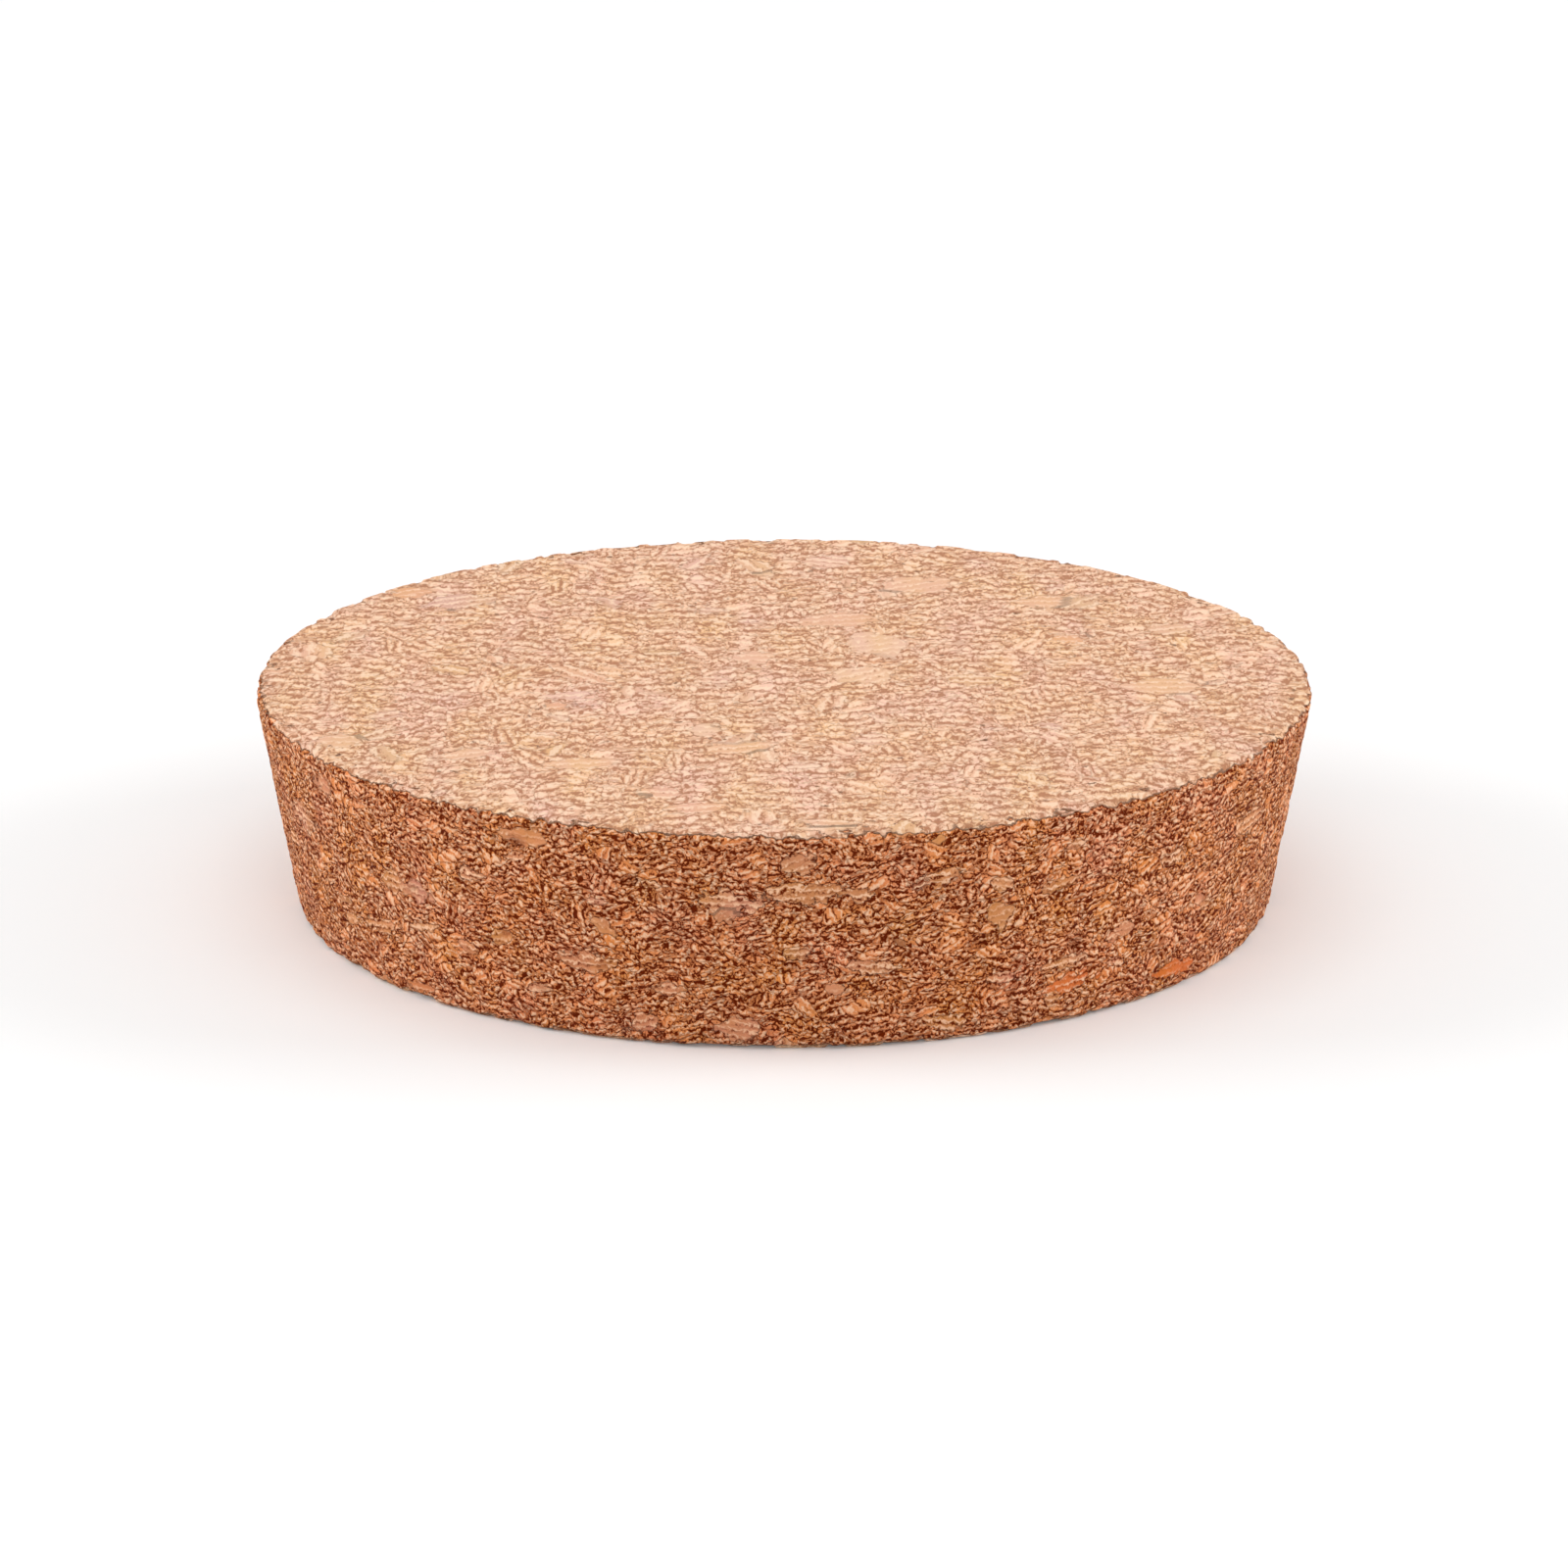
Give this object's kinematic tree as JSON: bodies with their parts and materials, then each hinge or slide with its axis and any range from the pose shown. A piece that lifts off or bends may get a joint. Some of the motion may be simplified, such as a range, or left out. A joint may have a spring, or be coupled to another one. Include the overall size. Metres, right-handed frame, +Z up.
{
  "type": "cork stopper",
  "caption": "Round tapered plug of pressed cork granules, flat on both ends, pushed narrow end first into a wide jar mouth to close it.",
  "frame": {"origin": "centre of the narrow end's flat face, on which the stopper stands", "axes": "+Z up along the axis of the taper, from the narrow end to the wide end; X and Y are alike"},
  "size_m": [0.07, 0.07, 0.015],
  "materials": {
    "cork": "pressed cork granules, pale and sanded on the flat ends, deeper and rougher on the ground side"
  },
  "bodies": {
    "root": {"stopper": "cork"}
  },
  "joints": []
}
